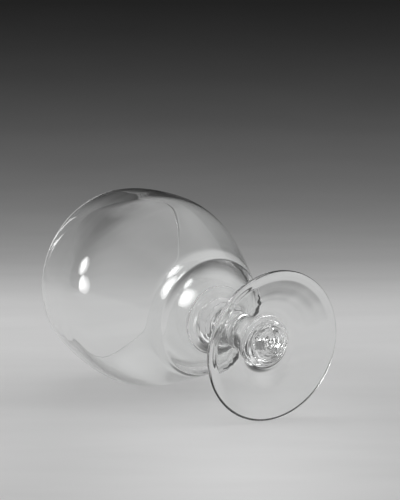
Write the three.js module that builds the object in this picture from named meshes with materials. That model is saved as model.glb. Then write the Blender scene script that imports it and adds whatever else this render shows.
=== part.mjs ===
import * as THREE from 'three';

// A large rummer of clear glass, about 1820, standing upright on its foot.
// Every piece is turned about Z. The origin is the centre of the ring it stands on.
// All sizes are in millimetres.

// Foot
const footDiameter = 75;
const footEdgeThickness = 2.8;
const footEdgeRound = 1.4; // how far the edge rounding reaches in
const footRestInset = 2.1; // from the outline to the resting ring
const footRestWidth = 2.4; // flat ring that touches the table
const footKickHeight = 5; // hollow under the middle of the foot
const footKickRadius = 12.5; // level middle of the hollow
const footKickDip = 2.6; // height at which the hollow's cone is drawn in
const footConeRadius = 20; // radius at which the hollow's cone is drawn in
const footCentreThickness = 3.6; // glass between the hollow and the stem
const footShoulderRadius = 17.5; // where the upper cone turns up into the stem
const footShoulderHeight = 5.4;

// Pontil scar, the broken wad under the foot
const scarRadius = 9.3;
const scarDepth = 2;
const scarBevel = 0.9; // how much narrower its broken face is
const scarRipple = 0.3; // height of the fracture's ripples
const scarRippleStep = 1.5; // spacing of the ripples, over two pi
const scarWobble = 0.05; // unevenness of its outline, as a share of its radius

// Stem, waisted like a capstan
const stemLength = 38.3;
const stemFootRadius = 13.5;
const stemTopRadius = 13.7;
const stemWaistRadius = 8.6;
const stemWaistHeight = 18;
const stemFootFlare = 3.9; // height in which the lower end draws in
const stemTopFlare = 5.8; // height in which the upper end opens out

// Collar between the stem and the bowl
const collarRadius = 17.4;
const collarHeight = 3.3;
const collarEdgeThickness = 1.9;
const collarEdgeRound = 0.8;

// Bowl, outside
const bowlHeight = 91.8;
const bowlCornerRadius = 29.8; // turn from the low cone of the base into the side
const bowlCornerRise = 4.4; // lift of that turn above the collar
const bowlCornerRound = 1.2;
const bowlWidestRadius = 49.5;
const bowlWidestHeight = 59.5;
const bowlSideLean = 24.4; // degrees off upright, just above the corner
const bowlSideStraight = 25.7; // length that the side keeps this lean
const bowlShoulderBend = 15.2; // height in which the side comes upright
const bowlMouthBend = 6.4; // height in which it starts to turn in
const bowlTurnRadius = 48.1; // where the turn to the mouth is drawn in
const bowlTurnHeight = 82;
const rimRadius = 44.8;

// Bowl, wall
const rimThickness = 2.1;
const wallAtWidest = 2.2;
const cavityShoulderBend = 11.6; // height in which the cavity starts to draw in
const cavityLean = 28.2; // degrees off upright, where the cavity's side is straight
const cavityLeanLength = 28.1; // length over which it comes to this lean
const cavityTurnRadius = 30.1; // where it starts to turn into the floor
const cavityTurnHeight = 17;
const floorTurnShare = 2 / 3; // share of the turn in which the floor's curve tightens
const baseThickness = 7.5;

// Fineness of the facets
const sides = 48;
const scarSides = 24;
const leastSteps = 4; // in a rounded stretch, even so that its middle is kept
const wideFacet = 7; // longest facet along the bowl and the foot
const stemFacet = 4;
const fineFacet = 2;

const footHeight = footKickHeight + footCentreThickness;
const collarBottom = footHeight + stemLength;
const bowlBottom = collarBottom + collarHeight;

const bowlGlass = { color: 0xe6ebe9, roughness: 0.03 };
const stemGlass = { color: 0xdfe5e3, roughness: 0.04 };
const footGlass = { color: 0xe2e8e6, roughness: 0.05 };
const brokenGlass = { color: 0xd3d9d7, roughness: 0.35 };

// Turns an outline of lines and curves about Z, with facets up to one length along it
function turned(outline, facetLength, around) {
  const points = [outline.curves[0].getPoint(0)];
  for (const curve of outline.curves) {
    const wanted = Math.max(leastSteps, Math.ceil(curve.getLength() / facetLength));
    const steps = curve.isLineCurve ? 1 : wanted;
    points.push(...curve.getPoints(steps).slice(1));
  }
  return new THREE.LatheGeometry(points, around).rotateX(Math.PI / 2);
}

function piece(name, geometry, glass, height) {
  const material = new THREE.MeshStandardMaterial({
    ...glass,
    metalness: 0,
    transparent: true,
    opacity: 0.35,
  });
  const mesh = new THREE.Mesh(geometry, material);
  mesh.name = name;
  mesh.position.z = height;
  return mesh;
}

function makeFoot() {
  const radius = footDiameter / 2;
  const restOuter = radius - footRestInset;
  const restInner = restOuter - footRestWidth;
  const edgeMiddle = footEdgeThickness / 2;
  const outline = new THREE.Path();
  outline.moveTo(0, footKickHeight);
  outline.lineTo(footKickRadius, footKickHeight);
  outline.quadraticCurveTo(footConeRadius, footKickDip, restInner, 0);
  outline.lineTo(restOuter, 0);
  outline.quadraticCurveTo(radius, 0, radius, edgeMiddle);
  outline.quadraticCurveTo(radius, footEdgeThickness, radius - footEdgeRound, footEdgeThickness);
  outline.quadraticCurveTo(footShoulderRadius, footShoulderHeight, stemFootRadius, footHeight);
  outline.lineTo(0, footHeight);
  return piece('foot', turned(outline, wideFacet, sides), footGlass, 0);
}

// The wad broke away from the iron, so its lower face is uneven and rippled
function makeScar() {
  const outline = new THREE.Path();
  outline.moveTo(0, -scarDepth);
  for (const share of [0.3, 0.6, 0.85]) {
    outline.lineTo(share * (scarRadius - scarBevel), -scarDepth);
  }
  outline.lineTo(scarRadius - scarBevel, -scarDepth + scarBevel / 2);
  outline.lineTo(scarRadius, 0);
  outline.lineTo(0, 0);
  const geometry = turned(outline, fineFacet, scarSides);
  const place = geometry.attributes.position;
  for (let i = 0; i < place.count; i += 1) {
    const x = place.getX(i);
    const y = place.getY(i);
    const depth = -place.getZ(i) / scarDepth; // 0 at the foot, 1 at the broken face
    const angle = Math.atan2(y, x);
    const swell = 1 + scarWobble * Math.cos(3 * angle) * depth;
    const ripple = Math.sin((x + 0.6 * y) / scarRippleStep) + 0.5 * Math.cos(y / scarRippleStep);
    place.setXYZ(i, x * swell, y * swell, place.getZ(i) + scarRipple * ripple * depth);
  }
  return piece('pontil_scar', geometry, brokenGlass, footKickHeight);
}

function makeStem() {
  const outline = new THREE.Path();
  outline.moveTo(0, 0);
  outline.lineTo(stemFootRadius, 0);
  outline.quadraticCurveTo(stemWaistRadius, stemFootFlare, stemWaistRadius, stemWaistHeight);
  outline.quadraticCurveTo(stemWaistRadius, stemLength - stemTopFlare, stemTopRadius, stemLength);
  outline.lineTo(0, stemLength);
  return piece('stem', turned(outline, stemFacet, sides), stemGlass, footHeight);
}

function makeCollar() {
  const edgeBottom = collarHeight - collarEdgeThickness;
  const edgeMiddle = collarHeight - collarEdgeThickness / 2;
  const edgeInner = collarRadius - collarEdgeRound;
  const outline = new THREE.Path();
  outline.moveTo(0, 0);
  outline.lineTo(stemTopRadius, 0);
  outline.lineTo(edgeInner, edgeBottom);
  outline.quadraticCurveTo(collarRadius, edgeBottom, collarRadius, edgeMiddle);
  outline.quadraticCurveTo(collarRadius, collarHeight, edgeInner, collarHeight);
  outline.lineTo(0, collarHeight);
  return piece('collar', turned(outline, fineFacet, sides), stemGlass, collarBottom);
}

function makeBowl() {
  const seatRadius = collarRadius - collarEdgeRound;
  const corner = new THREE.Vector2(bowlCornerRadius, bowlCornerRise);
  const seatEdge = new THREE.Vector2(seatRadius, 0);
  const lean = THREE.MathUtils.degToRad(bowlSideLean);
  const alongSide = new THREE.Vector2(Math.sin(lean), Math.cos(lean));
  const towardsSeat = seatEdge.clone().sub(corner).setLength(bowlCornerRound).add(corner);
  const sideStart = alongSide.clone().multiplyScalar(bowlCornerRound).add(corner);
  const sideBend = alongSide.clone().multiplyScalar(bowlSideStraight).add(sideStart);
  const mouthBend = bowlWidestHeight + bowlMouthBend;
  const wallAtTurn = (wallAtWidest + rimThickness) / 2;
  const rimCentre = bowlHeight - rimThickness / 2;
  const innerWidest = bowlWidestRadius - wallAtWidest;
  const cavityAngle = THREE.MathUtils.degToRad(cavityLean);
  const alongCavity = new THREE.Vector2(Math.sin(cavityAngle), Math.cos(cavityAngle));
  const cavityTurn = new THREE.Vector2(cavityTurnRadius, cavityTurnHeight);
  const cavityShoulder = alongCavity.clone().multiplyScalar(cavityLeanLength).add(cavityTurn);
  const turnLength = (cavityTurnHeight - baseThickness) / Math.cos(cavityAngle);
  const floorEdge = alongCavity.clone().multiplyScalar(-turnLength).add(cavityTurn);
  const floorBend = cavityTurn.clone().lerp(floorEdge, floorTurnShare);

  const outline = new THREE.Path();
  outline.moveTo(0, 0);
  outline.lineTo(seatEdge.x, seatEdge.y);
  outline.lineTo(towardsSeat.x, towardsSeat.y);
  outline.quadraticCurveTo(corner.x, corner.y, sideStart.x, sideStart.y);
  outline.bezierCurveTo(
    sideBend.x,
    sideBend.y,
    bowlWidestRadius,
    bowlWidestHeight - bowlShoulderBend,
    bowlWidestRadius,
    bowlWidestHeight,
  );
  outline.bezierCurveTo(
    bowlWidestRadius,
    mouthBend,
    bowlTurnRadius,
    bowlTurnHeight,
    rimRadius,
    rimCentre,
  );
  outline.absarc(rimRadius - rimThickness / 2, rimCentre, rimThickness / 2, 0, Math.PI, false);
  outline.bezierCurveTo(
    bowlTurnRadius - wallAtTurn,
    bowlTurnHeight,
    innerWidest,
    mouthBend,
    innerWidest,
    bowlWidestHeight,
  );
  outline.bezierCurveTo(
    innerWidest,
    bowlWidestHeight - cavityShoulderBend,
    cavityShoulder.x,
    cavityShoulder.y,
    cavityTurn.x,
    cavityTurn.y,
  );
  outline.bezierCurveTo(floorBend.x, floorBend.y, floorEdge.x, floorEdge.y, 0, baseThickness);
  return piece('bowl', turned(outline, wideFacet, sides), bowlGlass, bowlBottom);
}

const rummer = new THREE.Group();
rummer.add(makeFoot(), makeScar(), makeStem(), makeCollar(), makeBowl());

export default rummer;
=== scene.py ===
import math
from collections import Counter

import bmesh
import bpy
import numpy as np
from mathutils import Matrix, Vector


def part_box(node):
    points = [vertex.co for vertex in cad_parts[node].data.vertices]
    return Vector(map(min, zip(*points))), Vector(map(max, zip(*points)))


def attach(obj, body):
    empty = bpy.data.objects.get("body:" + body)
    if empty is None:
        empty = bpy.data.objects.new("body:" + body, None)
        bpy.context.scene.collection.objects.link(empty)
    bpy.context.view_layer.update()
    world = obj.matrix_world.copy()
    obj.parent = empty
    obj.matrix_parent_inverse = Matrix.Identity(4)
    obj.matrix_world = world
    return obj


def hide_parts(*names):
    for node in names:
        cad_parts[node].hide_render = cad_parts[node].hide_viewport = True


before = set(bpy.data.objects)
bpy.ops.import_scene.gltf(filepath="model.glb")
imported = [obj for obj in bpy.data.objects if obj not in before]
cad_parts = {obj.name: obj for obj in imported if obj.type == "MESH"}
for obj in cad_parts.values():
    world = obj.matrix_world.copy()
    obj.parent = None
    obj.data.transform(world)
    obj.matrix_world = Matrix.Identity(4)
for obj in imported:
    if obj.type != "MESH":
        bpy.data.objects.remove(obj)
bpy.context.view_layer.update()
print("frame loaded:", sorted(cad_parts))

# Lengths are in metres and settings of direction in degrees, where no note says otherwise
scene = bpy.context.scene
mergeDistance = 0.000001  # points that lie closer are one point


# Camera and the way the glass lies

photoView = {
    "imageWidth": 400,  # pixels
    "imageHeight": 500,
    "focalPixels": 3000.0,
    "footPixel": (274.3, 346.7),  # centre of the foot's resting plane
    "footPixelsPerMetre": 2094.0,
    "axisFromSight": 37.35,  # degrees between the line of sight and the glass's axis
    "axisInImage": 156.49,  # degrees, direction from foot to bowl, anticlockwise from right
    "spin": 129.8,  # degrees, turns the part about its own axis
    "sensor": 36.0,  # millimetres along the image's long side
    "nearest": 0.05,  # the nearest and the farthest that the camera sees
    "farthest": 30,
    "floorTilt": 9.12,  # degrees that the camera looks down at the floor
    "footCentreAboveFloor": 0.0371,  # for a glass that lies on its bowl and foot edge
}


def partToCamera(view):
    tilt = math.radians(view["axisFromSight"])
    roll = math.radians(view["axisInImage"])
    spin = math.radians(view["spin"])
    across = math.sin(tilt)
    axis = Vector((math.cos(roll) * across, math.sin(roll) * across, -math.cos(tilt)))
    side = Vector((0, 1, 0)).cross(axis).normalized()
    other = axis.cross(side)
    partX = side * math.cos(spin) + other * math.sin(spin)
    partY = other * math.cos(spin) - side * math.sin(spin)
    depth = view["focalPixels"] / view["footPixelsPerMetre"]
    px, py = view["footPixel"]
    foot = Vector((
        (px - view["imageWidth"] / 2) / view["footPixelsPerMetre"],
        (view["imageHeight"] / 2 - py) / view["footPixelsPerMetre"],
        -depth,
    ))
    turn = Matrix((partX, partY, axis)).transposed().to_4x4()
    return Matrix.Translation(foot) @ turn


cameraFromPart = partToCamera(photoView)
partFromCamera = cameraFromPart.inverted()


def floorToCamera(view):
    # x to the right, y away along the floor, z up; origin on the floor below the foot's centre
    down = math.radians(view["floorTilt"])
    right = Vector((1, 0, 0))
    away = Vector((0, math.sin(down), -math.cos(down)))
    up = Vector((0, math.cos(down), math.sin(down)))
    foot = cameraFromPart @ Vector((0, 0, 0))
    origin = foot - up * view["footCentreAboveFloor"]
    turn = Matrix((right, away, up)).transposed().to_4x4()
    return Matrix.Translation(origin) @ turn


partFromFloor = partFromCamera @ floorToCamera(photoView)


def makeCamera(view):
    data = bpy.data.cameras.new("photoCamera")
    data.sensor_width = view["sensor"]
    data.lens = view["focalPixels"] / view["imageHeight"] * view["sensor"]
    data.clip_start = view["nearest"]
    data.clip_end = view["farthest"]
    camera = bpy.data.objects.new("photoCamera", data)
    scene.collection.objects.link(camera)
    camera.matrix_world = partFromCamera
    scene.camera = camera


makeCamera(photoView)
print("camera placed")


# Node helpers

nodeLayout = {"columnWidth": 240, "rowHeight": 280}


def addNode(tree, kind, inputs=None, **settings):
    # an input takes a fixed value, or a link where the value is another node's output
    node = tree.nodes.new(kind)
    for name, value in settings.items():
        setattr(node, name, value)
    for name, value in (inputs or {}).items():
        if isinstance(value, bpy.types.NodeSocket):
            tree.links.new(value, node.inputs[name])
        else:
            node.inputs[name].default_value = value
    return node


def addMath(tree, operation, *values, kind="ShaderNodeMath"):
    # for sums and products of numbers or vectors; gives the output that holds the result
    return addNode(tree, kind, dict(enumerate(values)), operation=operation).outputs[0]


def addFade(tree, value, start, full, low=0.0, high=1.0):
    # goes softly from low to high while the value goes from start to full
    return addNode(tree, "ShaderNodeMapRange", {
        "Value": value,
        "From Min": start,
        "From Max": full,
        "To Min": low,
        "To Max": high,
    }, interpolation_type="SMOOTHSTEP").outputs["Result"]


def arrangeNodes(tree):
    # each node stands a column to the right of those that feed it, which were all made before it
    columns = {}
    rows = Counter()
    for node in tree.nodes:
        feeding = [columns[link.from_node.name] for socket in node.inputs for link in socket.links]
        column = max(feeding, default=-1) + 1
        columns[node.name] = column
        node.location = (column * nodeLayout["columnWidth"], -rows[column] * nodeLayout["rowHeight"])
        rows[column] += 1


def startMaterial(name):
    material = bpy.data.materials.new(name)
    material.use_nodes = True
    material.node_tree.nodes.clear()
    return material


def grey(tone):
    return (tone, tone, tone, 1)


# Glass

everyGlass = {
    "index": 1.53,
    "smoothRoughness": 0.0,
    "wearStart": 0.5,  # levels of the wear pattern at which it starts and is full
    "wearFull": 0.75,
    "wearDetail": 6.0,
    "wearGrain": 0.7,
    "bumpDetail": 2.0,
    "bumpGrain": 0.4,
}
glassSettings = {
    "bowlGlass": {
        "tint": (0.985, 0.99, 0.987, 1),
        "wearRoughness": 0.02,
        "wearScale": 60.0,
        "bumpScale": 45.0,
        "bumpStretch": 0.35,  # along the axis, below 1 for lumps that are drawn out
        "bumpHeight": 0.00004,
    },
    "stemGlass": {
        "tint": (0.98, 0.985, 0.982, 1),
        "wearRoughness": 0.02,
        "wearScale": 90.0,
        "bumpScale": 80.0,
        "bumpStretch": 0.5,
        "bumpHeight": 0.00006,
    },
    "footGlass": {
        "tint": (0.98, 0.985, 0.982, 1),
        "wearRoughness": 0.03,
        "wearScale": 120.0,
        "bumpScale": 70.0,
        "bumpStretch": 1.0,
        "bumpHeight": 0.00005,
    },
    "brokenGlass": {
        "tint": (0.97, 0.975, 0.972, 1),
        "wearRoughness": 0.2,
        "wearScale": 500.0,
        "bumpScale": 700.0,
        "bumpStretch": 1.0,
        "bumpHeight": 0.00006,
    },
}


def makeGlass(name):
    own = glassSettings[name]
    material = startMaterial(name)
    tree = material.node_tree
    place = addNode(tree, "ShaderNodeTexCoord").outputs["Object"]
    wear = addNode(tree, "ShaderNodeTexNoise", {
        "Vector": place,
        "Scale": own["wearScale"],
        "Detail": everyGlass["wearDetail"],
        "Roughness": everyGlass["wearGrain"],
    })
    roughness = addNode(tree, "ShaderNodeMapRange", {
        "Value": wear.outputs["Fac"],
        "From Min": everyGlass["wearStart"],
        "From Max": everyGlass["wearFull"],
        "To Min": everyGlass["smoothRoughness"],
        "To Max": own["wearRoughness"],
    })
    stretched = addNode(tree, "ShaderNodeMapping", {
        "Vector": place,
        "Scale": (1, 1, own["bumpStretch"]),
    })
    lumps = addNode(tree, "ShaderNodeTexNoise", {
        "Vector": stretched.outputs["Vector"],
        "Scale": own["bumpScale"],
        "Detail": everyGlass["bumpDetail"],
        "Roughness": everyGlass["bumpGrain"],
    })
    bump = addNode(tree, "ShaderNodeBump", {
        "Height": lumps.outputs["Fac"],
        "Distance": own["bumpHeight"],
    })
    shader = addNode(tree, "ShaderNodeBsdfPrincipled", {
        "Base Color": own["tint"],
        "IOR": everyGlass["index"],
        "Transmission Weight": 1.0,
        "Roughness": roughness.outputs["Result"],
        "Normal": bump.outputs["Normal"],
    })
    addNode(tree, "ShaderNodeOutputMaterial", {"Surface": shader.outputs["BSDF"]})
    arrangeNodes(tree)
    return material


def makeSeam():
    # two gathers have grown together here, so there is no surface to see
    material = startMaterial("fusedSeam")
    tree = material.node_tree
    clear = addNode(tree, "ShaderNodeBsdfTransparent")
    addNode(tree, "ShaderNodeOutputMaterial", {"Surface": clear.outputs["BSDF"]})
    arrangeNodes(tree)
    return material


glasses = {name: makeGlass(name) for name in glassSettings}
fusedSeam = makeSeam()
print("glass ready:", sorted(glasses))


# Outlines, as points of radius and height, each with a mark where it is a fused seam

class Outline:
    fewestSteps = 3  # along any one line or curve

    def __init__(self, height, spacing):
        # starts on the axis, and on a seam
        self.spacing = spacing
        self.points = [(0, height)]
        self.seams = [True]

    def addCurve(self, corners, seam=False):
        # corners are the control points after the last point: one for a line, more for a curve
        control = [np.array(self.points[-1])] + [np.array(corner) for corner in corners]
        degree = len(control) - 1
        length = sum(np.linalg.norm(b - a) for a, b in zip(control, control[1:]))
        steps = max(self.fewestSteps, math.ceil(length / self.spacing))
        for step in range(1, steps + 1):
            t = step / steps
            point = sum(
                math.comb(degree, k) * (1 - t) ** (degree - k) * t ** k * corner
                for k, corner in enumerate(control)
            )
            self.points.append((float(point[0]), float(point[1])))
            self.seams.append(seam)

    def addHalfRound(self, centre, radius, steps):
        for step in range(1, steps + 1):
            angle = math.pi * step / steps
            outward = radius * math.cos(angle)
            upward = radius * math.sin(angle)
            self.points.append((centre[0] + outward, centre[1] + upward))
            self.seams.append(False)

    def markSeamEnd(self):
        self.seams[-1] = True

    def sway(self, reach):
        # 0 at a seam, rising to 1 at that distance along the outline, so that seams stay true
        steps = np.linalg.norm(np.diff(self.points, axis=0), axis=1)
        along = np.concatenate([[0], np.cumsum(steps)])
        marked = along[np.array(self.seams)]
        fromSeam = np.abs(along[:, None] - marked[None]).min(1)
        t = np.clip(fromSeam / reach, 0, 1)
        return t * t * (3 - 2 * t)


# Geometry Nodes lathe: turns an outline mesh into a closed glass piece

latheSettings = {
    "markDetail": 1.0,  # fineness of the tool marks' pattern
    "wholeSeam": 0.99,  # a face or edge above this has all its corners on a seam
}


def makeLatheTree():
    tree = bpy.data.node_groups.new("turnedGlass", "GeometryNodeTree")
    sockets = (
        ("Outline", "NodeSocketGeometry"),
        ("Sides", "NodeSocketInt"),
        ("Ring Height", "NodeSocketFloat"),
        ("Ring Spacing", "NodeSocketFloat"),
        ("Lump Height", "NodeSocketFloat"),
        ("Lump Size", "NodeSocketFloat"),
        ("Seed", "NodeSocketFloat"),
        ("Glass", "NodeSocketMaterial"),
        ("Seam", "NodeSocketMaterial"),
    )
    for name, kind in sockets:
        tree.interface.new_socket(name, in_out="INPUT", socket_type=kind)
    tree.interface.new_socket("Piece", in_out="OUTPUT", socket_type="NodeSocketGeometry")
    given = addNode(tree, "NodeGroupInput").outputs

    # A flat grid, with a row for each point of the outline and a column for each side
    wholeNumbers = "FunctionNodeIntegerMath"
    count = addNode(tree, "GeometryNodeAttributeDomainSize", {
        "Geometry": given["Outline"],
    }, component="MESH")
    columns = addMath(tree, "ADD", given["Sides"], 1, kind=wholeNumbers)
    grid = addNode(tree, "GeometryNodeMeshGrid", {
        "Vertices X": count.outputs["Point Count"],
        "Vertices Y": columns,
    })
    index = addNode(tree, "GeometryNodeInputIndex").outputs[0]
    row = addMath(tree, "DIVIDE_FLOOR", index, columns, kind=wholeNumbers)
    column = addMath(tree, "MODULO", index, columns, kind=wholeNumbers)
    share = addMath(tree, "DIVIDE", column, given["Sides"])
    angle = addMath(tree, "MULTIPLY", share, 2 * math.pi)

    def fromOutline(value, dataType):
        # what the outline's point for this row holds
        return addNode(tree, "GeometryNodeSampleIndex", {
            "Geometry": given["Outline"],
            "Value": value,
            "Index": row,
        }, data_type=dataType, domain="POINT").outputs[0]

    # The marks go over to the grid, and its rows are turned about the axis
    glass = grid.outputs["Mesh"]
    for mark in ("seam", "sway"):
        stored = addNode(tree, "GeometryNodeInputNamedAttribute", {"Name": mark}, data_type="FLOAT")
        glass = addNode(tree, "GeometryNodeStoreNamedAttribute", {
            "Geometry": glass,
            "Name": mark,
            "Value": fromOutline(stored.outputs["Attribute"], "FLOAT"),
        }, data_type="FLOAT", domain="POINT").outputs["Geometry"]
    position = addNode(tree, "GeometryNodeInputPosition").outputs[0]
    turned = addNode(tree, "ShaderNodeVectorRotate", {
        "Vector": fromOutline(position, "FLOAT_VECTOR"),
        "Angle": angle,
    }, rotation_type="Z_AXIS")
    shaped = addNode(tree, "GeometryNodeSetPosition", {
        "Geometry": glass,
        "Position": turned.outputs["Vector"],
    })
    merged = addNode(tree, "GeometryNodeMergeByDistance", {
        "Geometry": shaped.outputs["Geometry"],
        "Distance": mergeDistance,
    })
    outward = addNode(tree, "GeometryNodeFlipFaces", {"Mesh": merged.outputs["Geometry"]})

    # Tooling leaves rings round the axis and broad soft lumps, both pressed inwards
    part = addNode(tree, "ShaderNodeSeparateXYZ", {0: position}).outputs
    square = [addMath(tree, "POWER", part[name], 2) for name in ("X", "Y")]
    radius = addMath(tree, "SQRT", addMath(tree, "ADD", *square))
    ringPlace = addNode(tree, "ShaderNodeCombineXYZ", {"X": radius, "Y": part["Z"]}).outputs[0]
    pressed = []
    for place, height, size in (
        (ringPlace, "Ring Height", "Ring Spacing"),
        (position, "Lump Height", "Lump Size"),
    ):
        marks = addNode(tree, "ShaderNodeTexNoise", {
            "Vector": place,
            "W": given["Seed"],
            "Scale": addMath(tree, "DIVIDE", 1, given[size]),
            "Detail": latheSettings["markDetail"],
        }, noise_dimensions="4D")
        inward = addMath(tree, "SUBTRACT", marks.outputs["Fac"], 1)
        pressed.append(addMath(tree, "MULTIPLY", inward, given[height]))
    sway = addNode(tree, "GeometryNodeInputNamedAttribute", {"Name": "sway"}, data_type="FLOAT")
    depth = addMath(tree, "MULTIPLY", addMath(tree, "ADD", *pressed), sway.outputs["Attribute"])
    normal = addNode(tree, "GeometryNodeInputNormal").outputs[0]
    push = addNode(tree, "ShaderNodeVectorMath", {0: normal, "Scale": depth}, operation="SCALE")
    tooled = addNode(tree, "GeometryNodeSetPosition", {
        "Geometry": outward.outputs["Mesh"],
        "Offset": push.outputs[0],
    })

    # A seam has sharp edges and no surface of its own to see
    seam = addNode(tree, "GeometryNodeInputNamedAttribute", {"Name": "seam"}, data_type="FLOAT")
    onSeam = addNode(tree, "FunctionNodeCompare", {
        0: seam.outputs["Attribute"],
        1: latheSettings["wholeSeam"],
    }, data_type="FLOAT", operation="GREATER_THAN").outputs[0]
    smooth = addNode(tree, "GeometryNodeSetShadeSmooth", {
        "Geometry": tooled.outputs["Geometry"],
    }, domain="FACE")
    sharp = addNode(tree, "GeometryNodeSetShadeSmooth", {
        "Geometry": smooth.outputs["Geometry"],
        "Selection": onSeam,
        "Shade Smooth": False,
    }, domain="EDGE")
    real = addNode(tree, "GeometryNodeRealizeInstances", {"Geometry": sharp.outputs["Geometry"]})
    clear = addNode(tree, "GeometryNodeSetMaterial", {
        "Geometry": real.outputs["Geometry"],
        "Material": given["Glass"],
    })
    fused = addNode(tree, "GeometryNodeSetMaterial", {
        "Geometry": clear.outputs["Geometry"],
        "Selection": onSeam,
        "Material": given["Seam"],
    })
    addNode(tree, "NodeGroupOutput", {"Piece": fused.outputs["Geometry"]})
    arrangeNodes(tree)
    return tree


latheTree = makeLatheTree()


def makeTurnedPiece(name, outline, glass, settings):
    mesh = bpy.data.meshes.new(name + "Outline")
    points = [(radius, 0, height) for radius, height in outline.points]
    mesh.from_pydata(points, [(i, i + 1) for i in range(len(points) - 1)], [])
    for mark, values in (
        ("seam", outline.seams),
        ("sway", outline.sway(settings["seamReach"])),
    ):
        attribute = mesh.attributes.new(mark, "FLOAT", "POINT")
        attribute.data.foreach_set("value", np.array(values, np.float32))
    drawn = bpy.data.objects.new(name + "Outline", mesh)
    scene.collection.objects.link(drawn)
    modifier = drawn.modifiers.new("lathe", "NODES")
    modifier.node_group = latheTree
    given = {
        "Sides": settings["sides"],
        "Ring Height": settings["ringHeight"],
        "Ring Spacing": settings["ringSpacing"],
        "Lump Height": settings["lumpHeight"],
        "Lump Size": settings["lumpSize"],
        "Seed": settings["seed"],
        "Glass": glass,
        "Seam": fusedSeam,
    }
    for socket in latheTree.interface.items_tree:
        if socket.name in given:
            modifier[socket.identifier] = given[socket.name]
    evaluated = drawn.evaluated_get(bpy.context.evaluated_depsgraph_get())
    finished = bpy.data.meshes.new_from_object(evaluated)
    finished.name = name
    finished.materials.pop(index=0)  # the empty slot that the grid starts with
    bpy.data.objects.remove(drawn)
    bpy.data.meshes.remove(mesh)
    piece = bpy.data.objects.new(name, finished)
    scene.collection.objects.link(piece)
    print(name, "has", len(finished.vertices), "vertices,", len(finished.polygons), "faces")
    return piece


# Foot

footSettings = {
    "sides": 256,
    "spacing": 0.0006,
    "edgeThickness": 0.0028,
    "edgeRound": 0.0014,
    "restInset": 0.0021,  # from the outline to the ring that it stands on
    "restWidth": 0.0024,
    "scarRadius": 0.0093,  # seat of the broken wad
    "kickHeight": 0.005,  # hollow under the middle
    "kickRadius": 0.0125,
    "kickGroove": 0.001,  # how far the ring round the scar is drawn out and in
    "coneBend": (0.020, 0.0026),
    "shoulderBend": (0.0175, 0.0054),
    "stemRadius": 0.0135,
    "ringHeight": 0.00012,
    "ringSpacing": 0.003,
    "lumpHeight": 0.00015,
    "lumpSize": 0.012,
    "seamReach": 0.004,
    "seed": 3.0,
}


def makeFoot():
    foot = footSettings
    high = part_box("foot")[1]
    radius = high.x
    height = high.z
    restOuter = radius - foot["restInset"]
    restInner = restOuter - foot["restWidth"]
    edgeMiddle = foot["edgeThickness"] / 2
    kick = foot["kickHeight"]
    groovePart = (foot["kickRadius"] - foot["scarRadius"]) / 3  # the ring's width, in three parts
    outline = Outline(kick, foot["spacing"])
    outline.addCurve([(foot["scarRadius"], kick)], seam=True)
    outline.addCurve([
        (foot["scarRadius"] + groovePart, kick - foot["kickGroove"]),
        (foot["kickRadius"] - groovePart, kick + foot["kickGroove"]),
        (foot["kickRadius"], kick),
    ])
    outline.addCurve([foot["coneBend"], (restInner, 0)])
    outline.addCurve([(restOuter, 0)])
    outline.addCurve([(radius, 0), (radius, edgeMiddle)])
    outline.addCurve([
        (radius, foot["edgeThickness"]),
        (radius - foot["edgeRound"], foot["edgeThickness"]),
    ])
    outline.addCurve([foot["shoulderBend"], (foot["stemRadius"], height)])
    outline.markSeamEnd()
    outline.addCurve([(0, height)], seam=True)
    return makeTurnedPiece("foot_glass", outline, glasses["footGlass"], foot)


footPiece = makeFoot()


# Stem

stemSettings = {
    "sides": 192,
    "spacing": 0.0006,
    "topRadius": 0.0137,
    "waistRadius": 0.0086,
    "waistHeight": 0.018,
    "footFlare": 0.0039,  # height in which the lower end draws in
    "topFlare": 0.0058,
    "ringHeight": 0.00012,
    "ringSpacing": 0.0022,
    "lumpHeight": 0.0003,
    "lumpSize": 0.007,
    "seamReach": 0.003,
    "seed": 5.0,
}


def makeStem():
    stem = stemSettings
    low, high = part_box("stem")
    bottom = low.z
    top = high.z
    waist = (stem["waistRadius"], bottom + stem["waistHeight"])
    outline = Outline(bottom, stem["spacing"])
    outline.addCurve([(footSettings["stemRadius"], bottom)], seam=True)
    outline.addCurve([(stem["waistRadius"], bottom + stem["footFlare"]), waist])
    outline.addCurve([(stem["waistRadius"], top - stem["topFlare"]), (stem["topRadius"], top)])
    outline.markSeamEnd()
    outline.addCurve([(0, top)], seam=True)
    return makeTurnedPiece("stem_glass", outline, glasses["stemGlass"], stem)


stemPiece = makeStem()


# Collar

collarSettings = {
    "sides": 192,
    "spacing": 0.0003,
    "edgeThickness": 0.0019,
    "edgeRound": 0.0008,
    "ringHeight": 0.0001,
    "ringSpacing": 0.0014,
    "lumpHeight": 0.00008,
    "lumpSize": 0.008,
    "seamReach": 0.0012,
    "seed": 7.0,
}


def makeCollar():
    collar = collarSettings
    low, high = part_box("collar")
    radius = high.x
    bottom = low.z
    top = high.z
    edgeBottom = top - collar["edgeThickness"]
    edgeMiddle = top - collar["edgeThickness"] / 2
    edgeInner = radius - collar["edgeRound"]
    outline = Outline(bottom, collar["spacing"])
    outline.addCurve([(stemSettings["topRadius"], bottom)], seam=True)
    outline.addCurve([(edgeInner, edgeBottom)])
    outline.addCurve([(radius, edgeBottom), (radius, edgeMiddle)])
    outline.addCurve([(radius, top), (edgeInner, top)])
    outline.markSeamEnd()
    outline.addCurve([(0, top)], seam=True)
    return makeTurnedPiece("collar_glass", outline, glasses["stemGlass"], collar)


collarPiece = makeCollar()


# Bowl

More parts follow.
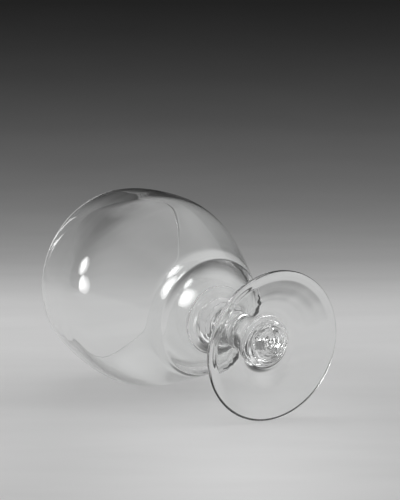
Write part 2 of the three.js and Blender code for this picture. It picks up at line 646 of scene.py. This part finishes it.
bowlSettings = {
    "sides": 256,
    "spacing": 0.0007,
    "corner": (0.0298, 0.0044),  # radius, and lift above the collar
    "cornerRound": 0.0012,
    "sideLean": 24.4,  # degrees off upright
    "sideStraight": 0.0257,
    "widestHeight": 0.0595,
    "shoulderBend": 0.0152,
    "mouthBend": 0.0064,
    "mouthTurn": (0.0481, 0.082),  # radius, and lift above the collar
    "rimRadius": 0.0448,
    "rimThickness": 0.0021,
    "rimSteps": 14,
    "wallAtWidest": 0.0022,
    "cavityShoulderBend": 0.0117,
    "cavityShoulderDraw": 0.004,
    "cavityTurn": (0.0301, 0.017),
    "cavityLean": 28.2,  # degrees off upright
    "floorTurnShare": 2 / 3,  # share of the turn in which the floor's curve tightens
    "baseThickness": 0.0075,
    "ringHeight": 0.00002,
    "ringSpacing": 0.006,
    "lumpHeight": 0.0001,
    "lumpSize": 0.03,
    "seamReach": 0.004,
    "seed": 2.0,
}


def makeBowl():
    bowl = bowlSettings
    low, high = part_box("bowl")
    bottom = low.z
    widest = high.x
    lean = math.radians(bowl["sideLean"])
    alongSide = Vector((math.sin(lean), math.cos(lean)))
    seatEdge = Vector((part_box("collar")[1].x - collarSettings["edgeRound"], bottom))
    corner = Vector((bowl["corner"][0], bottom + bowl["corner"][1]))
    towardsSeat = corner + (seatEdge - corner).normalized() * bowl["cornerRound"]
    sideStart = corner + alongSide * bowl["cornerRound"]
    sideBend = sideStart + alongSide * bowl["sideStraight"]
    widestHeight = bottom + bowl["widestHeight"]
    mouthBend = widestHeight + bowl["mouthBend"]
    turnRadius = bowl["mouthTurn"][0]
    turnHeight = bottom + bowl["mouthTurn"][1]
    rimHalf = bowl["rimThickness"] / 2
    rimCentre = (bowl["rimRadius"] - rimHalf, high.z - rimHalf)
    outline = Outline(bottom, bowl["spacing"])
    outline.addCurve([seatEdge], seam=True)
    outline.addCurve([towardsSeat])
    outline.addCurve([corner, sideStart])
    outline.addCurve([sideBend, (widest, widestHeight - bowl["shoulderBend"]), (widest, widestHeight)])
    outline.addCurve([(widest, mouthBend), (turnRadius, turnHeight), (bowl["rimRadius"], rimCentre[1])])
    outline.addHalfRound(rimCentre, rimHalf, bowl["rimSteps"])

    # The cavity, from the rim down to the middle of its floor
    innerWidest = widest - bowl["wallAtWidest"]
    innerTurn = turnRadius - (bowl["wallAtWidest"] + bowl["rimThickness"]) / 2
    floorHeight = bottom + bowl["baseThickness"]
    perHeight = math.tan(math.radians(bowl["cavityLean"]))  # how far the wall leans out
    cavityTurn = Vector((bowl["cavityTurn"][0], bottom + bowl["cavityTurn"][1]))
    shoulderRadius = innerWidest - bowl["cavityShoulderDraw"]
    shoulder = Vector((shoulderRadius, cavityTurn.y + (shoulderRadius - cavityTurn.x) / perHeight))
    floorEdge = Vector((cavityTurn.x + (floorHeight - cavityTurn.y) * perHeight, floorHeight))
    floorBend = cavityTurn.lerp(floorEdge, bowl["floorTurnShare"])
    outline.addCurve([
        (innerTurn, turnHeight),
        (innerWidest, mouthBend),
        (innerWidest, widestHeight),
    ])
    outline.addCurve([
        (innerWidest, widestHeight - bowl["cavityShoulderBend"]),
        shoulder,
        (shoulder + cavityTurn) / 2,
        cavityTurn,
    ])
    outline.addCurve([floorBend, floorEdge, (0, floorHeight)])
    return makeTurnedPiece("bowl_glass", outline, glasses["bowlGlass"], bowl)


bowlPiece = makeBowl()


# Pontil scar, rough where the wad was snapped from the iron

scarSettings = {
    "bevel": 0.0009,  # width of the slope at its edge
    "depth": 0.002,
    "sides": 180,
    "rings": 70,
    "wobble": 0.05,  # unevenness of the outline, as a share of the radius
    "wobbleWaves": 3,
    "wobbleFull": 0.25,  # share of the way in at which the wobble is full
    "dish": 0.2,  # share of the depth by which the face rises and dips
    "dishWaves": 1.1,  # from the middle to the outline
    "dishFull": 0.25,  # share of the radius at which the dish is full
    "swirlCentre": (0.0012, -0.0008),
    "streakSpacing": 0.0017,
    "streakHeight": 0.00014,
    "streakBend": 0.8,  # radians by which the streaks wander
    "streakBendRate": 520,  # radians per metre, as are the chips' rates
    "chipHeight": 0.0003,
    "chipRates": (480, 390),  # along x and along y
    "crossChipRate": 900,
    "crossChipShare": 0.5,
    "seed": 11,
}


def brokenDepth(x, y, angle, radius, inward, phases):
    # how far the broken face lies below the wad's seat
    scar = scarSettings
    seatRadius = footSettings["scarRadius"]
    slope = min(1.0, inward * seatRadius / scar["bevel"])
    wave = math.cos(2 * math.pi * scar["dishWaves"] * radius / seatRadius)
    dish = wave * math.cos(angle + phases["dish"]) * min(1, radius / seatRadius / scar["dishFull"])
    fromSwirl = (x - scar["swirlCentre"][0], y - scar["swirlCentre"][1])
    swirlTurn = math.atan2(fromSwirl[1], fromSwirl[0]) / (2 * math.pi)
    along = math.hypot(*fromSwirl) / scar["streakSpacing"] + swirlTurn
    bend = scar["streakBend"] * math.sin(y * scar["streakBendRate"] + phases["bend"])
    streak = math.sin(2 * math.pi * along + bend)
    rateX, rateY = scar["chipRates"]
    chip = math.sin(x * rateX + phases["chipX"]) * math.cos(y * rateY + phases["chipY"])
    crossChip = math.sin((x - y) * scar["crossChipRate"] + phases["crossChip"])
    chip += scar["crossChipShare"] * crossChip
    depth = scar["depth"] * (1 - scar["dish"] + scar["dish"] * dish)
    return slope * (depth + scar["streakHeight"] * streak * inward + scar["chipHeight"] * chip)


def closeMesh(mesh):
    # the innermost ring becomes one point, and every face looks outwards
    work = bmesh.new()
    work.from_mesh(mesh)
    bmesh.ops.remove_doubles(work, verts=work.verts, dist=mergeDistance)
    bmesh.ops.recalc_face_normals(work, faces=work.faces)
    work.to_mesh(mesh)
    work.free()


def makeScar():
    scar = scarSettings
    seatRadius = footSettings["scarRadius"]
    top = footSettings["kickHeight"]
    waves = ("wobble", "bend", "chipX", "chipY", "crossChip", "dish")
    draws = np.random.default_rng(scar["seed"]).uniform(0, 2 * math.pi, len(waves))
    phases = dict(zip(waves, draws))
    sides = scar["sides"]
    angles = [2 * math.pi * side / sides for side in range(sides)]
    vertices = [(0.0, 0.0, top)]
    for angle in angles:
        vertices.append((seatRadius * math.cos(angle), seatRadius * math.sin(angle), top))
    for ring in range(1, scar["rings"] + 1):
        inward = ring / scar["rings"]  # 0 at the outline, 1 at the middle
        for angle in angles:
            wave = math.cos(scar["wobbleWaves"] * angle + phases["wobble"])
            swell = 1 + scar["wobble"] * wave * min(1, inward / scar["wobbleFull"])
            radius = seatRadius * (1 - inward) * swell
            x = radius * math.cos(angle)
            y = radius * math.sin(angle)
            vertices.append((x, y, top - brokenDepth(x, y, angle, radius, inward, phases)))
    faces = [(0, 1 + side, 1 + (side + 1) % sides) for side in range(sides)]
    for ring in range(scar["rings"]):
        outer = 1 + ring * sides
        inner = outer + sides
        for side in range(sides):
            after = (side + 1) % sides
            faces.append((outer + side, inner + side, inner + after, outer + after))
    mesh = bpy.data.meshes.new("pontil_scar_glass")
    mesh.from_pydata(vertices, [], faces)
    mesh.materials.append(glasses["brokenGlass"])
    mesh.materials.append(fusedSeam)
    for face in mesh.polygons:
        isSeam = face.index < sides
        face.material_index = 1 if isSeam else 0
        face.use_smooth = not isSeam
    closeMesh(mesh)
    piece = bpy.data.objects.new("pontil_scar_glass", mesh)
    scene.collection.objects.link(piece)
    return piece


scarPiece = makeScar()
print("pieces made")


# Join the pieces to the frame

joined = (  # piece, the node that it replaces, the name of its material slot
    (footPiece, "foot", "foot_glass"),
    (scarPiece, "pontil_scar", "broken_glass"),
    (stemPiece, "stem", "stem_glass"),
    (collarPiece, "collar", "collar_glass"),
    (bowlPiece, "bowl", "bowl_glass"),
)
for piece, node, slotName in joined:
    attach(piece, "root")
    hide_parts(node)


# Stage: a pale floor that curves up into a darker backdrop, as seen past the lying glass, with painted
# light and shade in its tone

stageSettings = {
    "halfWidth": 2.5,
    "nearEnd": -2.2,  # distances are measured from below the foot, away from the camera
    "levelRows": (-0.3, 0.3),  # rows that keep the floor's shading level up to the curve
    "curveStart": 0.55,
    "curveRadius": 0.5,
    "curveSteps": 24,
    "wallTop": 0.75,
    "paintedSideLightAndShade": (  # side, distances across at which it starts and is full, tone; painted light and shade towards each side
        (-1, 0.23, 0.75, 0.49),
        (1, 0.4, 2.0, 0.25),
    ),
    "paintedLightPool": {  # a painted pool of light on the floor in front of the glass
        "centre": -0.016,
        "reach": 0.095,
        "farEdge": 0.2,
        "nearEdge": -0.02,
        "tone": 0.105,
    },
    "streaks": {  # faint marks in the paper
        "across": 9.0,
        "along": 30.0,
        "detail": 3.0,
        "levels": (0.25, 0.75),
        "share": 0.03,
    },
    "ownGlow": 0.55,  # brightness that the paper shows by itself, so that its tone holds
    "paintedLightTones": (  # distance along the sweep, and tone; the brighter floor behind the glass is painted light, and the darkening up the backdrop is painted shade where the light falls off
        (-2.2, 0.50),
        (-0.154, 0.50),
        (-0.04, 0.515),
        (0.05, 0.505),
        (0.154, 0.54),
        (0.23, 0.557),
        (0.271, 0.552),
        (0.336, 0.509),
        (0.406, 0.402),
        (0.482, 0.314),
        (0.563, 0.262),
        (0.621, 0.212),
        (0.663, 0.171),
        (0.699, 0.144),
        (0.731, 0.1195),
        (0.76, 0.102),
        (0.787, 0.080),
        (0.813, 0.065),
        (0.837, 0.051),
        (0.861, 0.040),
        (0.883, 0.030),
        (0.926, 0.017),
        (1.10, 0.05),
        (1.90, 0.12),
    ),
}


def makeStage():
    stage = stageSettings
    profile = [(away, 0.0) for away in (stage["nearEnd"], *stage["levelRows"], stage["curveStart"])]
    for step in range(1, stage["curveSteps"] + 1):
        turn = math.radians(90) * step / stage["curveSteps"]
        profile.append((
            stage["curveStart"] + stage["curveRadius"] * math.sin(turn),
            stage["curveRadius"] * (1 - math.cos(turn)),
        ))
    profile.append((profile[-1][0], stage["wallTop"]))
    along = [stage["nearEnd"]]
    for a, b in zip(profile, profile[1:]):
        along.append(along[-1] + math.dist(a, b))
    edges = (-stage["halfWidth"], stage["halfWidth"])
    vertices = [(across, away, up) for away, up in profile for across in edges]
    faces = [(2 * i, 2 * i + 1, 2 * i + 3, 2 * i + 2) for i in range(len(profile) - 1)]
    mesh = bpy.data.meshes.new("studioSweep")
    mesh.from_pydata(vertices, [], faces)
    for face in mesh.polygons:
        face.use_smooth = True
    for name, values in (
        ("sweepAlong", np.repeat(along, len(edges))),
        ("sweepAcross", np.tile(edges, len(profile))),
    ):
        attribute = mesh.attributes.new(name, "FLOAT", "POINT")
        attribute.data.foreach_set("value", values.astype(np.float32))
    sweep = bpy.data.objects.new("studioSweep", mesh)
    scene.collection.objects.link(sweep)
    sweep.matrix_world = partFromFloor
    mesh.materials.append(makeStageMaterial())


def addToneRamp(tree, value, paintedLightTones):
    # a ramp from distance to grey, which holds the sweep's painted light and shade
    first = paintedLightTones[0][0]
    last = paintedLightTones[-1][0]
    spread = addNode(tree, "ShaderNodeMapRange", {
        "Value": value,
        "From Min": first,
        "From Max": last,
    })
    ramp = addNode(tree, "ShaderNodeValToRGB", {"Fac": spread.outputs["Result"]})
    stops = ramp.color_ramp.elements
    stops[0].color = grey(paintedLightTones[0][1])
    stops[-1].color = grey(paintedLightTones[-1][1])
    for place, tone in paintedLightTones[1:-1]:
        stops.new((place - first) / (last - first)).color = grey(tone)
    return ramp.outputs["Color"]


def addPaperToneWithPaintedLight(tree):
    stage = stageSettings
    along = addNode(tree, "ShaderNodeAttribute", attribute_name="sweepAlong").outputs["Fac"]
    across = addNode(tree, "ShaderNodeAttribute", attribute_name="sweepAcross").outputs["Fac"]
    # the tone along the sweep, with painted light on the floor and painted shade up the backdrop
    tone = addToneRamp(tree, along, stage["paintedLightTones"])
    # painted light and shade towards each side of the sweep
    for side, start, full, paintedSideTone in stage["paintedSideLightAndShade"]:
        tone = addNode(tree, "ShaderNodeMix", {
            "Factor": addFade(tree, across, side * start, side * full),
            "A": tone,
            "B": grey(paintedSideTone),
        }, data_type="RGBA").outputs["Result"]

    # painted pool of light, added to the paper's tone
    paintedLightPool = stage["paintedLightPool"]
    fromCentre = addMath(tree, "ABSOLUTE", addMath(tree, "SUBTRACT", across, paintedLightPool["centre"]))
    paintedPoolAcross = addFade(tree, fromCentre, paintedLightPool["reach"], 0.0, high=paintedLightPool["tone"])
    paintedPoolAlong = addFade(tree, along, paintedLightPool["farEdge"], paintedLightPool["nearEdge"])
    paintedPoolLight = addMath(tree, "MULTIPLY", paintedPoolAcross, paintedPoolAlong)
    withPaintedPool = addMath(tree, "ADD", tone, paintedPoolLight, kind="ShaderNodeVectorMath")

    streaks = stage["streaks"]
    paperPlace = addNode(tree, "ShaderNodeCombineXYZ", {"X": across, "Y": along}).outputs["Vector"]
    stretch = (streaks["across"], streaks["along"], 0)
    cloud = addNode(tree, "ShaderNodeTexNoise", {
        "Vector": addMath(tree, "MULTIPLY", paperPlace, stretch, kind="ShaderNodeVectorMath"),
        "Scale": 1.0,
        "Detail": streaks["detail"],
    })
    shade = addNode(tree, "ShaderNodeMapRange", {
        "Value": cloud.outputs["Fac"],
        "From Min": streaks["levels"][0],
        "From Max": streaks["levels"][1],
        "To Min": 1 - streaks["share"],
        "To Max": 1 + streaks["share"],
    })
    return addNode(tree, "ShaderNodeVectorMath", {
        0: withPaintedPool,
        "Scale": shade.outputs["Result"],
    }, operation="SCALE").outputs["Vector"]


def makeStageMaterial():
    material = startMaterial("paleSweep")
    tree = material.node_tree
    tone = addPaperToneWithPaintedLight(tree)
    diffuse = addNode(tree, "ShaderNodeBsdfDiffuse", {"Color": tone})

    # The paper's own glow is for the camera and for what glass shows, and lights nothing
    rays = addNode(tree, "ShaderNodeLightPath").outputs
    seenOrMirrored = addMath(tree, "MAXIMUM", rays["Is Camera Ray"], rays["Is Glossy Ray"])
    seen = addMath(tree, "MAXIMUM", seenOrMirrored, rays["Is Transmission Ray"])
    glow = addNode(tree, "ShaderNodeEmission", {
        "Color": tone,
        "Strength": addMath(tree, "MULTIPLY", seen, stageSettings["ownGlow"]),
    })
    paper = addNode(tree, "ShaderNodeAddShader", {
        0: diffuse.outputs["BSDF"],
        1: glow.outputs["Emission"],
    })

    # From behind it isn't there, because the sweep passes close beside the standing glass
    side = addNode(tree, "ShaderNodeNewGeometry")
    clear = addNode(tree, "ShaderNodeBsdfTransparent")
    choose = addNode(tree, "ShaderNodeMixShader", {
        0: side.outputs["Backfacing"],
        1: paper.outputs["Shader"],
        2: clear.outputs["BSDF"],
    })
    addNode(tree, "ShaderNodeOutputMaterial", {"Surface": choose.outputs["Shader"]})
    arrangeNodes(tree)
    return material


makeStage()
print("stage made")


# Light

lightSettings = {
    "softboxAway": 0.72,  # from the bowl
    "softboxes": (  # name, degrees round from the camera's side, elevation, width, height, power
        ("softboxUpper", -88.0, 19.5, 0.185, 0.225, 1.2),
        ("softboxLower", -80.0, 4.0, 0.185, 0.215, 1.25),
        ("stripBehind", -150.0, 10.0, 0.035, 0.36, 0.12),
        ("stripBeside", -138.0, 11.0, 0.022, 0.2, 0.05),
    ),
    "evenShare": 0.1,  # how much of a softbox's reach is evenly bright
    "edgeStrength": 0.3,
    "middleStrength": 1.0,
    "softboxTarget": (-0.11, 0.09, 0.07),  # right, away and up from the floor below the foot
    "roomTone": 0.2,
    "roomGlows": (  # degrees round, elevation, reach of full and of no light, tone
        (-165.0, 54.0, 8.0, 22.0, 0.6),
        (160.0, 48.0, 8.0, 26.0, 0.3),
        (-168.0, 14.0, 4.0, 10.0, 0.4),
        (-138.0, 5.0, 8.0, 28.0, 0.45),
        (75.0, 14.0, 7.0, 20.0, 0.9),
        (102.0, 50.0, 12.0, 28.0, 0.7),
        (0.0, 85.0, 10.0, 35.0, 0.4),
        (-165.0, 30.0, 5.0, 12.0, -0.2),  # a dark corner of the room
    ),
    "paleSurround": 0.62,  # what the camera sees beyond the sweep
    "bounces": {  # how often a ray may go on, so that thick glass stays clear
        "all": 24,
        "throughGlass": 24,
        "mirrored": 12,
        "throughSeams": 32,
    },
}


def floorDirection(around, elevation):
    # around is 0 towards the camera, -90 to the left and 180 away from it
    turn = math.radians(around)
    lift = math.radians(elevation)
    return Vector((
        math.sin(turn) * math.cos(lift),
        -math.cos(turn) * math.cos(lift),
        math.sin(lift),
    ))


def softenLamp(data):
    # a softbox's cloth is brightest in the middle and fades to its edge
    studio = lightSettings
    half = 0.5  # of the cloth, which is 1 wide and 1 high in its own coordinates
    data.use_nodes = True
    tree = data.node_tree
    tree.nodes.clear()
    surface = addNode(tree, "ShaderNodeNewGeometry")
    fromMiddle = addNode(tree, "ShaderNodeVectorMath", {
        0: surface.outputs["Parametric"],
        1: (half, half, 0),
    }, operation="DISTANCE").outputs["Value"]
    strength = addFade(
        tree, fromMiddle, half, half * studio["evenShare"],
        low=studio["edgeStrength"], high=studio["middleStrength"],
    )
    cloth = addNode(tree, "ShaderNodeEmission", {"Strength": strength})
    addNode(tree, "ShaderNodeOutputLight", {"Surface": cloth.outputs["Emission"]})
    arrangeNodes(tree)


def makeLights():
    studio = lightSettings
    target = Vector(studio["softboxTarget"])
    for name, around, elevation, wide, tall, power in studio["softboxes"]:
        towards = floorDirection(around, elevation)
        data = bpy.data.lights.new(name, "AREA")
        data.shape = "ELLIPSE"
        data.size = wide
        data.size_y = tall
        data.energy = power
        softenLamp(data)
        lamp = bpy.data.objects.new(name, data)
        scene.collection.objects.link(lamp)
        stand = Matrix.Translation(target + towards * studio["softboxAway"])
        facing = towards.to_track_quat("Z", "Y").to_matrix().to_4x4()
        lamp.matrix_world = partFromFloor @ stand @ facing
        lamp.visible_camera = False


def makeWorld():
    studio = lightSettings
    world = bpy.data.worlds.new("studioRoom")
    scene.world = world
    world.use_nodes = True
    tree = world.node_tree
    tree.nodes.clear()
    direction = addNode(tree, "ShaderNodeTexCoord").outputs["Generated"]
    light = studio["roomTone"]
    for around, elevation, inner, outer, tone in studio["roomGlows"]:
        near = addNode(tree, "ShaderNodeVectorMath", {
            0: direction,
            1: partFromFloor.to_3x3() @ floorDirection(around, elevation),
        }, operation="DOT_PRODUCT").outputs["Value"]
        dark = math.cos(math.radians(outer))
        full = math.cos(math.radians(inner))
        light = addMath(tree, "ADD", addFade(tree, near, dark, full, high=tone), light)
    room = addNode(tree, "ShaderNodeBackground", {"Color": light})
    seen = addNode(tree, "ShaderNodeBackground", {"Color": grey(studio["paleSurround"])})
    rays = addNode(tree, "ShaderNodeLightPath")
    choose = addNode(tree, "ShaderNodeMixShader", {
        0: rays.outputs["Is Camera Ray"],
        1: room.outputs["Background"],
        2: seen.outputs["Background"],
    })
    addNode(tree, "ShaderNodeOutputWorld", {"Surface": choose.outputs["Shader"]})
    arrangeNodes(tree)


def setBounces():
    bounces = lightSettings["bounces"]
    scene.cycles.max_bounces = bounces["all"]
    scene.cycles.transmission_bounces = bounces["throughGlass"]
    scene.cycles.glossy_bounces = bounces["mirrored"]
    scene.cycles.transparent_max_bounces = bounces["throughSeams"]


makeLights()
makeWorld()
setBounces()
scene.view_settings.view_transform = "Standard"
print("light ready")
